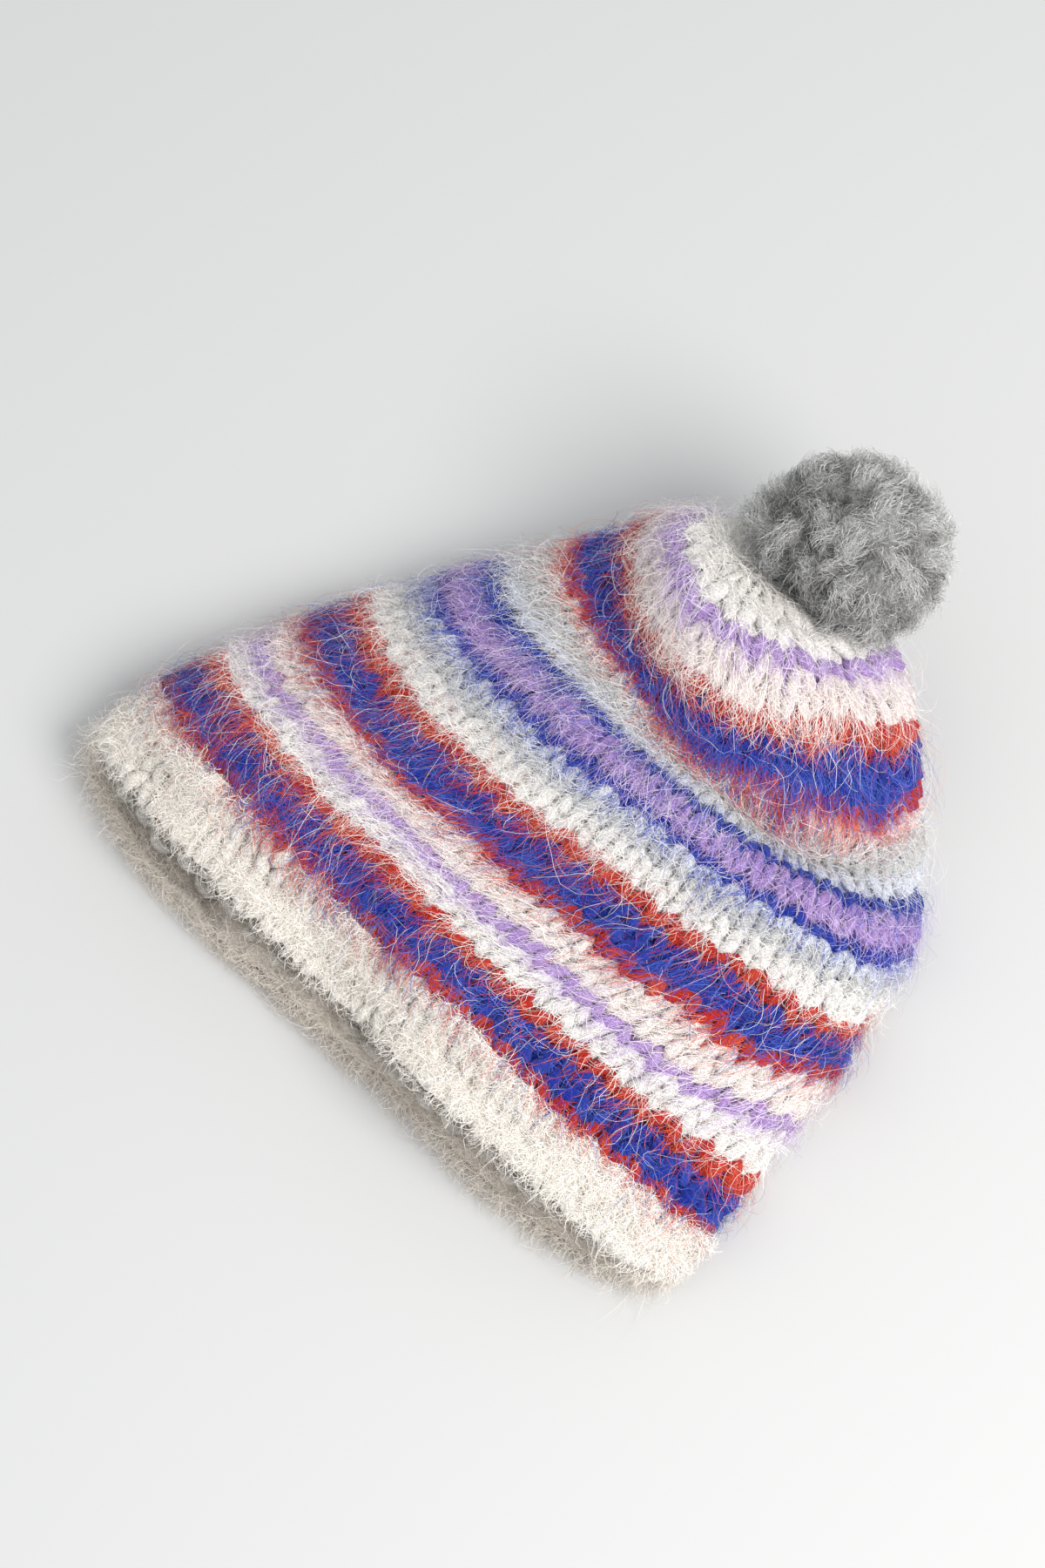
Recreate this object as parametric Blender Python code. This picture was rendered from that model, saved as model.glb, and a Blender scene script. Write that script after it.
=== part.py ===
"""A knitted beanie lying on its side: a striped crown, an off-white brim band and a grey pompom.

Metres, +Z up. The hat lies with its brim opening towards -Y and its gathered top towards +Y.
X runs along the flattened brim. The floor is z = 0 and the origin is under the middle of the whole hat.
"""

import math

import bmesh
import bpy
import numpy as np
from mathutils import Vector

# Driving sizes
BRIM_WIDTH = 0.260
HAT_LENGTH = 0.205
CROWN_HEIGHT = 0.076
KNIT_WALL = 0.006
BRIM_WALL = 0.007
BRIM_DEPTH = 0.0356
BRIM_SWELL = 0.0012
PIECE_GAP = 0.0003
VALLEY_DEPTH = 0.009
BRIM_DENT_DEPTH = 0.008
GATHER_DEPTH = 0.0016
POMPOM_RADIUS = 0.0315
POMPOM_SEAT = 0.020
POMPOM_LEAN = (0.64, 0.62, 0.45)
LOCK_LENGTH = 0.013
LOCK_WIDTH = 0.0125
SETTLE_HEIGHT = 0.003

# Counts and mesh fineness
LOOP_POINTS = 64
CROWN_LOOPS = 23
BRIM_LOOPS = 5
LIP_LOOPS = 3
FINE_LOOP = 720
SHARE_STEP = 0.004
BRIM_REACH = 0.5
BRIM_STEPS = 101
BEND_WEIGHT = 0.03
GATHERS = 16
LOCKS = 78
LOCK_SIDES = 6

# One row for each knitted loop that shapes the hat, from the brim edge (share 0) to the gathered top
# (share 1). The x columns are shares of half the brim width, the y columns of the hat's length and
# the z columns of the crown's height. "side" is the pair of folded edges, "top" and "base" are the
# middles of the upper and the lower layer. "lead" and "lift" are how far the +X fold lies ahead of
# and above the middle of the two. "full" is each quarter's fullness: 2 is an ellipse, more is
# squarer and less is slacker.
SECTION_COLUMNS = (
    "share", "mid_x", "half_x", "side_y", "lead_y", "side_z", "lift_z", "top_x", "top_y", "top_z",
    "base_x", "base_y", "base_z", "full_right", "full_left", "full_under",
)
SECTIONS = (
    (0.000, -0.010, 0.990, 0.010, 0.000, 0.138, 0.000, 0.040, -0.073, 0.408,
     -0.060, -0.080, -0.118, 2.5, 2.5, 2.5),
    (0.143, 0.005, 0.952, 0.170, -0.026, 0.158, -0.010, -0.020, 0.066, 0.550,
     -0.040, 0.176, -0.142, 2.1, 2.5, 2.5),
    (0.357, 0.010, 0.848, 0.439, 0.024, 0.197, 0.000, 0.150, 0.278, 0.650,
     -0.020, 0.478, -0.180, 2.4, 2.4, 2.5),
    (0.548, 0.031, 0.708, 0.634, 0.020, 0.270, 0.000, 0.140, 0.468, 0.711,
     0.030, 0.730, -0.140, 2.1, 2.1, 2.4),
    (0.738, 0.012, 0.470, 0.785, 0.012, 0.500, -0.010, 0.115, 0.600, 0.789,
     0.020, 0.946, 0.130, 1.7, 1.8, 2.0),
    (0.845, 0.000, 0.300, 0.866, 0.007, 0.730, -0.020, 0.023, 0.702, 0.987,
     0.023, 0.976, 0.400, 1.8, 2.0, 2.0),
    (0.929, -0.031, 0.150, 0.861, 0.000, 0.803, 0.000, -0.031, 0.785, 0.947,
     -0.031, 0.937, 0.658, 2.0, 2.0, 2.0),
    (1.000, -0.049, 0.000, 0.859, 0.000, 0.829, 0.000, -0.049, 0.859, 0.829,
     -0.049, 0.859, 0.829, 2.0, 2.0, 2.0),
)

# Slack hollows in the upper layer. "turn" is the place round the loop as a share of a full turn,
# 0 at the +X fold and 0.25 at the top; the spreads are Gaussian, in the same shares.
FOLD_COLUMNS = ("share", "share_spread", "turn", "turn_spread", "depth", "of")
FOLDS = (
    (0.640, 0.050, 0.13, 0.075, 1.00, VALLEY_DEPTH),
    (0.640, 0.055, 0.30, 0.100, 0.45, VALLEY_DEPTH),
    (0.270, 0.060, 0.34, 0.050, 0.35, VALLEY_DEPTH),
    (0.020, 0.085, 0.27, 0.050, 1.00, BRIM_DENT_DEPTH),
)
# A tuft's rings, as shares of its length from the root and of its width.
LOCK_PROFILE = ((0.00, 0.75), (0.45, 1.00), (0.80, 0.90), (1.00, 0.55))
LOCK_REACH_SPREAD = 0.10
LOCK_LEAN_SPREAD = 0.16
LOCK_SEED = 5
# How far out the lip's round runs, 1 being all the way to its tip.
LIP_FLAT = 0.97
TOP_RING_SHARE = 0.845
GATHER_SHARE = 0.92
GATHER_SPREAD = 0.05
CUTTER_START = 0.5


def clear_scene():
    for thing in list(bpy.data.objects):
        bpy.data.objects.remove(thing)


def new_collection(name, hidden=False):
    group = bpy.data.collections.new(name)
    bpy.context.scene.collection.children.link(group)
    group.hide_render = hidden
    return group


def plain_material(name, colour, roughness):
    material = bpy.data.materials.new(name)
    material.use_nodes = True
    shader = material.node_tree.nodes["Principled BSDF"]
    shader.inputs["Base Color"].default_value = (*colour, 1.0)
    shader.inputs["Roughness"].default_value = roughness
    shader.inputs["Metallic"].default_value = 0.0
    material.diffuse_color = (*colour, 1.0)
    return material


def section_at(share):
    """The section row at any share, on a smooth curve through the rows of SECTIONS."""
    rows = np.array(SECTIONS)
    places = rows[:, 0]
    slopes = np.gradient(rows, places, axis=0)
    i = int(np.clip(np.searchsorted(places, share) - 1, 0, len(places) - 2))
    step = places[i + 1] - places[i]
    u = (share - places[i]) / step
    start = rows[i] * (2 * u**3 - 3 * u**2 + 1) + slopes[i] * step * (u**3 - 2 * u**2 + u)
    end = rows[i + 1] * (3 * u**2 - 2 * u**3) + slopes[i + 1] * step * (u**3 - u**2)
    return dict(zip(SECTION_COLUMNS, start + end))


def loop_frame(share):
    """Middle of the folds, half the way between them, and the ways to the top and to the base."""
    s = section_at(share)
    half = BRIM_WIDTH / 2
    middle = np.array([s["mid_x"] * half, s["side_y"] * HAT_LENGTH, s["side_z"] * CROWN_HEIGHT])
    ahead = [s["lead_y"] * HAT_LENGTH, s["lift_z"] * CROWN_HEIGHT]
    across = np.array([max(s["half_x"], 0.0) * half, *ahead])
    top = np.array([s["top_x"] * half, s["top_y"] * HAT_LENGTH, s["top_z"] * CROWN_HEIGHT])
    base = np.array([s["base_x"] * half, s["base_y"] * HAT_LENGTH, s["base_z"] * CROWN_HEIGHT])
    fullness = (s["full_right"], s["full_left"], s["full_under"], s["full_under"])
    return middle, across, top - middle, base - middle, fullness


def settled(height):
    """Heights above the floor, where knit that would sink into it lies flat, with a soft bend."""
    near = np.clip(height + SETTLE_HEIGHT, 0, 2 * SETTLE_HEIGHT)
    return np.where(height > SETTLE_HEIGHT, height, near**2 / (4 * SETTLE_HEIGHT))


def knit_loop(share):
    """Points along one knitted loop, from the +X fold over the top and back underneath. With each
    come its turn (its place round the loop, a quarter of a turn from each fold to the top or the
    base), its way out from the middle of the loop, and the way square to the loop's own layer."""
    middle, across, up, down, fullness = loop_frame(share)
    angle = np.linspace(0, 2 * math.pi, FINE_LOOP + 1)
    quarter = np.minimum((angle / (math.pi / 2)).astype(int), 3)
    power = 2 / np.array(fullness)[quarter]
    side = (np.sign(np.cos(angle)) * np.abs(np.cos(angle)) ** power)[:, None]
    rise = (np.abs(np.sin(angle)) ** power)[:, None]
    upper = (angle <= math.pi)[:, None]
    layer = np.where(upper, up, down)
    line = middle + side * across + rise * layer
    line[:, 2] = settled(line[:, 2])
    out_ways = side * unit(across) + rise * unit(layer)
    square_ways = np.where(upper, unit(np.cross(across, up)), unit(np.cross(across, down)))
    return spaced_points(line, out_ways, square_ways)


def unit(ways):
    return ways / np.maximum(np.linalg.norm(ways, axis=-1, keepdims=True), 1e-12)


def spaced_points(line, *beside):
    """The four quarters of a closed line each get a quarter of the points, closer where it bends.
    Returns the points, their turns, and what lies beside the line at each."""
    quarter = FINE_LOOP // 4
    wanted_places = []
    turns = []
    for k in range(4):
        piece = line[k * quarter:(k + 1) * quarter + 1]
        steps = np.diff(piece, axis=0)
        lengths = np.linalg.norm(steps, axis=1)
        bends = np.linalg.norm(np.diff(unit(steps), axis=0, prepend=unit(steps[:1])), axis=1)
        walked = np.concatenate([[0], np.cumsum(lengths)])
        weighed = np.concatenate([[0], np.cumsum(lengths + BEND_WEIGHT * bends)])
        wanted = np.linspace(0, weighed[-1], LOOP_POINTS // 4, endpoint=False)
        place = np.interp(wanted, weighed, np.arange(quarter + 1))
        wanted_places.append(k * quarter + place)
        turns.append((k + np.interp(wanted, weighed, walked) / max(walked[-1], 1e-9)) / 4)
    places = np.concatenate(wanted_places)
    return sampled(line, places), np.concatenate(turns), *[sampled(ways, places) for ways in beside]


def sampled(rows, places):
    numbers = np.arange(len(rows))
    return np.stack([np.interp(places, numbers, rows[:, c]) for c in range(3)], axis=1)


def square_to(loops, after, before):
    """Outward normals of a stack of loops, from the loops just after and just before each."""
    round_way = np.roll(loops, -1, axis=1) - np.roll(loops, 1, axis=1)
    return unit(np.cross(after - before, round_way))


def fold_depths(shares, turns):
    depth = np.zeros(turns.shape)
    for row in FOLDS:
        fold = dict(zip(FOLD_COLUMNS, row))
        along = (np.array(shares)[:, None] - fold["share"]) / fold["share_spread"]
        around = (turns - fold["turn"] + 0.5) % 1 - 0.5
        around = around / fold["turn_spread"]
        depth += fold["depth"] * fold["of"] * np.exp(-(along**2) - around**2)
    return depth


def gather_heights(shares, turns):
    along = np.exp(-(((np.array(shares) - GATHER_SHARE) / GATHER_SPREAD) ** 2))
    return GATHER_DEPTH * along[:, None] * np.cos(2 * math.pi * GATHERS * turns)


def smooth_loops(shares):
    """The plain loops at these shares, with the turns and ways of their points."""
    found = [knit_loop(min(max(share, 0.0), 1.0)) for share in shares]
    return [np.stack(rows) for rows in zip(*found)]


def knit_surface(shares):
    """The knit at these shares: its outer skin with folds and gathers, lying flat on the floor, its
    outward normals, the same skin without gathers, and the way through the wall for each metre of
    it. In a fold that way leads to the middle of the loop, so that the wall can't cross itself."""
    smooth, turns, out_ways, square_ways = smooth_loops(shares)
    after = smooth_loops(shares + SHARE_STEP)[0]
    before = smooth_loops(shares - SHARE_STEP)[0]
    normals = square_to(smooth, after, before)
    plain = smooth - normals * fold_depths(shares, turns)[:, :, None]
    plain[:, :, 2] = np.maximum(plain[:, :, 2], 0)
    skin = plain + normals * gather_heights(shares, turns)[:, :, None]
    square = (normals * square_ways).sum(axis=2, keepdims=True)
    inward = -out_ways * np.sqrt(np.maximum(1 - square**2, 0)) - square_ways * square
    return skin, normals, plain, inward


def seam_surface(side):
    """The knit beside the seam of brim and crown, half a gap from it: -1 is the brim's rim and 1 the
    crown's. Both walls go in the same way, so the rims face each other all the way through."""
    seam = brim_share()
    rows = knit_surface(np.array([seam]))
    skin, normals, plain, inward = [row[0] for row in rows]
    ends = smooth_loops(np.array([seam - SHARE_STEP, seam + SHARE_STEP]))[0]
    shift = unit(ends[1] - ends[0]) * side * PIECE_GAP / 2
    return skin + shift, normals, plain + shift, inward


def seamed_surface(shares, row, side):
    """The knit at these shares, with the given row moved to the seam."""
    surface = knit_surface(shares)
    for part, rim in zip(surface, seam_surface(side)):
        part[row] = rim
    return surface


def brim_share():
    """The share of the knit that the brim band takes, from its depth along the lower layer."""
    shares = np.linspace(0, BRIM_REACH, BRIM_STEPS)
    base = []
    for share in shares:
        middle, _, _, down, _ = loop_frame(share)
        base.append(middle + down)
    base = np.array(base)
    base[:, 2] = settled(base[:, 2])
    steps = np.linalg.norm(np.diff(base, axis=0), axis=1)
    along = np.concatenate([[0], np.cumsum(steps)])
    return float(np.interp(BRIM_DEPTH, along, shares))


def loft(mesh, grid, closed_top, flip=False):
    """Lofts a skin through a grid of loops, all split along the same diagonals so that neighbouring
    skins stay apart. A closed top ends in a fan round its pole. Returns the loops of vertices."""
    loops = [[mesh.verts.new(point) for point in loop] for loop in (grid[:-1] if closed_top else grid)]
    triangles = []
    for low, high in zip(loops, loops[1:]):
        for i in range(len(low)):
            j = (i + 1) % len(low)
            triangles += [(low[i], low[j], high[j]), (low[i], high[j], high[i])]
    if closed_top:
        pole = mesh.verts.new(grid[-1].mean(axis=0))
        last = loops[-1]
        triangles += [(last[i], last[(i + 1) % len(last)], pole) for i in range(len(last))]
    for corners in triangles:
        mesh.faces.new(corners[::-1] if flip else corners)
    return loops


def close_rim(mesh, out, back, flip=False):
    """Faces across a wall, from its outer rim loop to its inner one."""
    for i in range(len(out)):
        j = (i + 1) % len(out)
        for corners in ((out[i], back[i], back[j]), (out[i], back[j], out[j])):
            mesh.faces.new(corners[::-1] if flip else corners)


def finished_mesh(name, mesh):
    bmesh.ops.recalc_face_normals(mesh, faces=mesh.faces)
    data = bpy.data.meshes.new(name)
    mesh.to_mesh(data)
    mesh.free()
    data.shade_smooth()
    return data


def sheet_mesh(name, outer, inner, closed_top):
    """One closed body between an outer and an inner skin, joined at the rims or closed at a pole."""
    mesh = bmesh.new()
    out = loft(mesh, outer, closed_top)
    back = loft(mesh, inner, closed_top, flip=True)
    close_rim(mesh, out[0], back[0])
    if not closed_top:
        close_rim(mesh, out[-1], back[-1], flip=True)
    return finished_mesh(name, mesh)


def add_object(name, data, group, material=None):
    thing = bpy.data.objects.new(name, data)
    group.objects.link(thing)
    if material:
        data.materials.append(material)
    return thing


def crown_shares():
    start = brim_share()
    return start + (1 - start) * np.linspace(0, 1, CROWN_LOOPS)


def make_crown(group):
    """The striped body: an even knitted wall from the brim band to the gathered top."""
    skin, _, plain, inward = seamed_surface(crown_shares(), 0, 1)
    inner = plain + inward * KNIT_WALL
    inner[-1] = skin[-1] - top_axis() * KNIT_WALL
    wool = plain_material("crown_wool", (0.62, 0.55, 0.66), 0.95)
    data = sheet_mesh("crown", skin, inner, closed_top=True)
    return add_object("crown", data, group, wool)


def lip_shares(end):
    """Shares that are close together over the rounded lip and even over the rest of the band."""
    lip = BRIM_WALL / 2 / BRIM_DEPTH * end
    round_part = lip * (1 - np.cos(np.linspace(0, math.pi / 2, LIP_LOOPS + 1)))
    return np.concatenate([round_part[:-1], np.linspace(lip, end, BRIM_LOOPS)])


def make_brim(group):
    """The edge band: a thicker wall that swells a little and ends in a rounded lip."""
    end = brim_share()
    shares = lip_shares(end)
    skin, normals, _, inward = seamed_surface(shares, -1, -1)
    from_edge = shares / end
    thickening = np.sin(math.pi / 2 * np.minimum(1, 2 * (1 - from_edge)))
    wall = KNIT_WALL + (BRIM_WALL - KNIT_WALL) * thickening
    swell = BRIM_SWELL * np.sin(math.pi * from_edge)
    from_lip_centre = np.clip(1 - from_edge * BRIM_DEPTH / (BRIM_WALL / 2), 0, LIP_FLAT)
    spread = np.sqrt(1 - from_lip_centre**2)
    out_depth = wall / 2 * (1 - spread)
    in_depth = wall / 2 * (1 + spread)
    raised = skin + normals * swell[:, None, None]
    outer = raised + inward * out_depth[:, None, None]
    inner = skin + inward * in_depth[:, None, None]
    outer[:, :, 2] = np.maximum(outer[:, :, 2], 0)
    wool = plain_material("brim_wool", (0.86, 0.82, 0.77), 0.95)
    data = sheet_mesh("brim", outer, inner, closed_top=False)
    return add_object("brim", data, group, wool)


def top_axis():
    """The way that the gathered top faces: square to the loop round it."""
    _, across, up, down, _ = loop_frame(TOP_RING_SHARE)
    axis = np.cross(across, down - up)
    axis = axis / np.linalg.norm(axis)
    return axis if axis[2] > 0 else -axis


def lock_ways():
    """Even directions over a ball."""
    golden = math.pi * (3 - math.sqrt(5))
    k = np.arange(LOCKS)
    height = 1 - (2 * k + 1) / LOCKS
    ring = np.sqrt(1 - height**2)
    return np.stack([ring * np.cos(golden * k), ring * np.sin(golden * k), height], axis=1)


def lock_mesh(name, reach):
    """One tuft of cut yarn: a short blunt drop, widest past its middle."""
    mesh = bmesh.new()
    root = POMPOM_RADIUS - LOCK_LENGTH
    rings = []
    for along, wide in LOCK_PROFILE:
        height = root + (reach - root) * along
        radius = LOCK_WIDTH / 2 * wide
        ring = []
        for k in range(LOCK_SIDES):
            turn = 2 * math.pi * k / LOCK_SIDES
            ring.append(mesh.verts.new((radius * math.cos(turn), radius * math.sin(turn), height)))
        rings.append(ring)
    for low, high in zip(rings, rings[1:]):
        for k in range(LOCK_SIDES):
            j = (k + 1) % LOCK_SIDES
            mesh.faces.new((low[k], low[j], high[j], high[k]))
    mesh.faces.new(rings[0][::-1])
    mesh.faces.new(rings[-1])
    return finished_mesh(name, mesh)


def crown_cutter(group):
    """The space that the far half of the hat fills, a gap larger all round."""
    shares = crown_shares()
    skin, normals, _, _ = knit_surface(shares[shares > CUTTER_START])
    outer = skin + normals * PIECE_GAP
    outer[-1] = skin[-1] + top_axis() * PIECE_GAP
    mesh = bmesh.new()
    loops = loft(mesh, outer, closed_top=True)
    mesh.faces.new(loops[0][::-1])
    data = finished_mesh("crown_cutter", mesh)
    return add_helper("crown_cutter", data, group)


def add_helper(name, data, group):
    helper = add_object(name, data, group)
    helper.hide_render = True
    helper.display_type = "WIRE"
    return helper


def make_pompom(group, cutters):
    """The cut-yarn ball: a core with tufts fused to it, seated on the gathered top."""
    pole = knit_loop(1.0)[0].mean(axis=0)
    centre = Vector(pole) + Vector(POMPOM_LEAN).normalized() * POMPOM_SEAT
    tufts = bpy.data.collections.new("pompom_tufts")
    tufts.hide_render = True
    cutters.children.link(tufts)
    chance = np.random.default_rng(LOCK_SEED)
    for k, way in enumerate(lock_ways()):
        reach = POMPOM_RADIUS * (1 - LOCK_REACH_SPREAD * chance.random())
        way = way + LOCK_LEAN_SPREAD * (chance.random(3) - 0.5)
        data = lock_mesh(f"tuft_{k:02d}", reach)
        tuft = add_helper(f"tuft_{k:02d}", data, tufts)
        tuft.rotation_mode = "QUATERNION"
        tuft.rotation_quaternion = Vector(way).to_track_quat("Z", "Y")
        tuft.location = centre
    core = bmesh.new()
    bmesh.ops.create_icosphere(core, subdivisions=3, radius=POMPOM_RADIUS - LOCK_LENGTH / 2)
    data = finished_mesh("pompom", core)
    pompom = add_object("pompom", data, group, plain_material("pompom_wool", (0.36, 0.36, 0.355), 0.95))
    pompom.location = centre
    fuse = pompom.modifiers.new("fuse_tufts", "BOOLEAN")
    fuse.operation = "UNION"
    fuse.operand_type = "COLLECTION"
    fuse.collection = tufts
    fuse.solver = "EXACT"
    fuse.use_self = True
    seat = pompom.modifiers.new("seat_on_crown", "BOOLEAN")
    seat.operation = "DIFFERENCE"
    seat.object = crown_cutter(cutters)
    seat.solver = "EXACT"
    return pompom


def centre_on_floor(pieces, helpers):
    """Parents every piece to an empty that puts the origin under the middle of the whole hat."""
    bpy.context.view_layer.update()
    graph = bpy.context.evaluated_depsgraph_get()
    corners = []
    for piece in pieces:
        made = piece.evaluated_get(graph)
        corners += [made.matrix_world @ vertex.co for vertex in made.data.vertices]
    points = np.array(corners)
    low = points.min(axis=0)
    high = points.max(axis=0)
    frame = bpy.data.objects.new("beanie_frame", None)
    bpy.context.scene.collection.objects.link(frame)
    for thing in pieces + helpers:
        thing.parent = frame
    frame.location = (-(low[0] + high[0]) / 2, -(low[1] + high[1]) / 2, -low[2])


clear_scene()
beanie = new_collection("beanie")
cutters = new_collection("beanie_cutters", hidden=True)
pieces = [make_crown(beanie), make_brim(beanie), make_pompom(beanie, cutters)]
helpers = list(cutters.all_objects)
centre_on_floor(pieces, helpers)
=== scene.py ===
"""The looks of a striped mohair beanie lying on its side: knitted stitches, fuzz, edge band and pompom.

Metres, +Z up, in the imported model's frame. The knit is laid out in rows, counted from the edge (0) to
the gathered top, and wales, counted round the hat from the fold at +X over the upper layer.
"""

import math

import bmesh
import bpy
import numpy as np
from mathutils import Matrix, Vector


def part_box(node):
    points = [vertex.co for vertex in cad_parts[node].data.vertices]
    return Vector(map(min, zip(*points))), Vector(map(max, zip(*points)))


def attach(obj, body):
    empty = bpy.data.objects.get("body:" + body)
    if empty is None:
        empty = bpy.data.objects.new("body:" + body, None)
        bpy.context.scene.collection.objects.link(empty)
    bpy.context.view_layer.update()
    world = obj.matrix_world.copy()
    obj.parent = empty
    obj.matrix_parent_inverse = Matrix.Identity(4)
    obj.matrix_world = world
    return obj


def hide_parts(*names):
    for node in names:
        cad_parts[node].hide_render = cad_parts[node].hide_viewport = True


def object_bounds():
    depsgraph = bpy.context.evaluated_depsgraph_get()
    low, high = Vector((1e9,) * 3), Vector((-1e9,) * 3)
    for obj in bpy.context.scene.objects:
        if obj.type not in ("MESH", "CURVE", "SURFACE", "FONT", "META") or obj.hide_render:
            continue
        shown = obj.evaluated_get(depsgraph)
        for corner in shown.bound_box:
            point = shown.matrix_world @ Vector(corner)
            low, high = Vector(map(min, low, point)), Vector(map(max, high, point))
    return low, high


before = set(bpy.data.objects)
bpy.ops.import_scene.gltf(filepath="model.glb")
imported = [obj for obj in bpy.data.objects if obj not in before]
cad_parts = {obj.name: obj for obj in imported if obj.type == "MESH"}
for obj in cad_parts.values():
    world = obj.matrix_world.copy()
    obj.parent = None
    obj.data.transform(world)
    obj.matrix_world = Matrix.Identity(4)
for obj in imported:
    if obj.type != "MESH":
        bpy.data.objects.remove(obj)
cad_low, cad_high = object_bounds()

# The hat's form, as in the CAD model
BRIM_WIDTH = 0.260
HAT_LENGTH = 0.205
CROWN_HEIGHT = 0.076
KNIT_WALL = 0.006
VALLEY_DEPTH = 0.009
BRIM_DENT_DEPTH = 0.008
SETTLE_HEIGHT = 0.003
FINE_LOOP = 720

SECTION_COLUMNS = (
    "share", "mid_x", "half_x", "side_y", "lead_y", "side_z", "lift_z", "top_x", "top_y", "top_z",
    "base_x", "base_y", "base_z", "full_right", "full_left", "full_under",
)
SECTIONS = (
    (0.000, -0.010, 0.990, 0.010, 0.000, 0.138, 0.000, 0.040, -0.073, 0.408,
     -0.060, -0.080, -0.118, 2.5, 2.5, 2.5),
    (0.143, 0.005, 0.952, 0.170, -0.026, 0.158, -0.010, -0.020, 0.066, 0.550,
     -0.040, 0.176, -0.142, 2.1, 2.5, 2.5),
    (0.357, 0.010, 0.848, 0.439, 0.024, 0.197, 0.000, 0.150, 0.278, 0.650,
     -0.020, 0.478, -0.180, 2.4, 2.4, 2.5),
    (0.548, 0.031, 0.708, 0.634, 0.020, 0.270, 0.000, 0.140, 0.468, 0.711,
     0.030, 0.730, -0.140, 2.1, 2.1, 2.4),
    (0.738, 0.012, 0.470, 0.785, 0.012, 0.500, -0.010, 0.115, 0.600, 0.789,
     0.020, 0.946, 0.130, 1.7, 1.8, 2.0),
    (0.845, 0.000, 0.300, 0.866, 0.007, 0.730, -0.020, 0.023, 0.702, 0.987,
     0.023, 0.976, 0.400, 1.8, 2.0, 2.0),
    (0.929, -0.031, 0.150, 0.861, 0.000, 0.803, 0.000, -0.031, 0.785, 0.947,
     -0.031, 0.937, 0.658, 2.0, 2.0, 2.0),
    (1.000, -0.049, 0.000, 0.859, 0.000, 0.829, 0.000, -0.049, 0.859, 0.829,
     -0.049, 0.859, 0.829, 2.0, 2.0, 2.0),
)
# Each fold's middle as a share and a turn, each with its spread, and what part of which depth it has
FOLDS = (
    (0.640, 0.050, 0.13, 0.075, 1.00, VALLEY_DEPTH),
    (0.640, 0.055, 0.30, 0.100, 0.45, VALLEY_DEPTH),
    (0.270, 0.060, 0.34, 0.050, 0.35, VALLEY_DEPTH),
    (0.020, 0.085, 0.27, 0.050, 1.00, BRIM_DENT_DEPTH),
    (0.645, 0.030, 0.11, 0.060, 0.45, VALLEY_DEPTH),
)
# How far the knit puffs up and sinks from place to place, and how far its rows waver, in rows
PUFF_HEIGHT = 0.0013
WAVER_ROWS = 0.46
# Over how many rows the waver fades in from the edge, and both fade out toward the top
EDGE_FADE_ROWS = 5
TOP_FADE_ROWS = 8
# Layers of soft noise: the cells' lengths along and around in steps of the grid, and the layer's share
PUFF_NOISE = ((13, 30, 1.0), (6, 14, 0.4))
WAVER_NOISE = ((22, 40, 1.0), (9, 15, 0.7))
DRIFT_NOISE = ((4, 8, 1.0), (11, 19, 0.7))
BAND_NOISE = ((4, 12, 1.0), (2, 4, 0.5))

SEEDS = {
    "uneven": 3, "pompom": 5, "crown_stitches": 11, "crown_stitches_under": 12, "band_stitches": 13,
    "edge_band": 21, "drift": 29, "crown_fuzz": 33, "band_fuzz": 47, "band_purls": 61,
}

# The knit
ROWS = 42
WALES = 46
UPPER_WALES = 23
ROW_STEPS = 4
WALE_STEPS = 8
BRIM_ROWS = 4

# How many rows of each yarn, from the edge to the gathered top
STRIPES = (
    (4, "ivory"),
    (1, "red"), (2, "blue"), (1, "red"),
    (2, "white"), (1, "lilac"), (2, "blush"),
    (1, "red"), (2, "blue"), (1, "red"),
    (2, "white"), (1, "grey"), (1, "sky"),
    (1, "blue"), (2, "lilac"), (1, "blue"),
    (1, "sky"), (2, "grey"), (1, "blush"),
    (1, "red"), (2, "blue"), (1, "red"),
    (2, "blush"), (1, "lilac"), (6, "white"),
)

# Linear colours: the yarn itself, and the palest of the mohair that stands out of it
YARNS = {
    "ivory": ((0.92, 0.87, 0.80), (0.97, 0.94, 0.90)),
    # The next is the ivory yarn darkened as painted shade, for the lower layer that lies under the upper one
    "ivory_painted_shade": ((0.74, 0.67, 0.59), (0.90, 0.85, 0.79)),
    "white": ((0.93, 0.90, 0.86), (0.98, 0.97, 0.95)),
    "blush": ((0.92, 0.83, 0.79), (0.98, 0.93, 0.91)),
    "grey": ((0.60, 0.60, 0.595), (0.90, 0.90, 0.895)),
    "sky": ((0.74, 0.77, 0.85), (0.95, 0.96, 0.98)),
    "red": ((0.52, 0.012, 0.004), (0.88, 0.20, 0.10)),
    "blue": ((0.003, 0.022, 0.34), (0.13, 0.21, 0.72)),
    "lilac": ((0.45, 0.28, 0.64), (0.84, 0.73, 0.92)),
    # The three ash tones are one grey yarn, made darker and paler as painted shade and light on the pompom's
    # locks
    "ash_painted_shade": ((0.32, 0.318, 0.31), (0.72, 0.715, 0.70)),
    "ash": ((0.49, 0.488, 0.478), (0.88, 0.875, 0.86)),
    "ash_painted_light": ((0.65, 0.647, 0.635), (0.97, 0.965, 0.95)),
}
YARN_NAMES = tuple(YARNS)
ROW_YARNS = [YARN_NAMES.index(name) for count, name in STRIPES for _ in range(count)]

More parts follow.
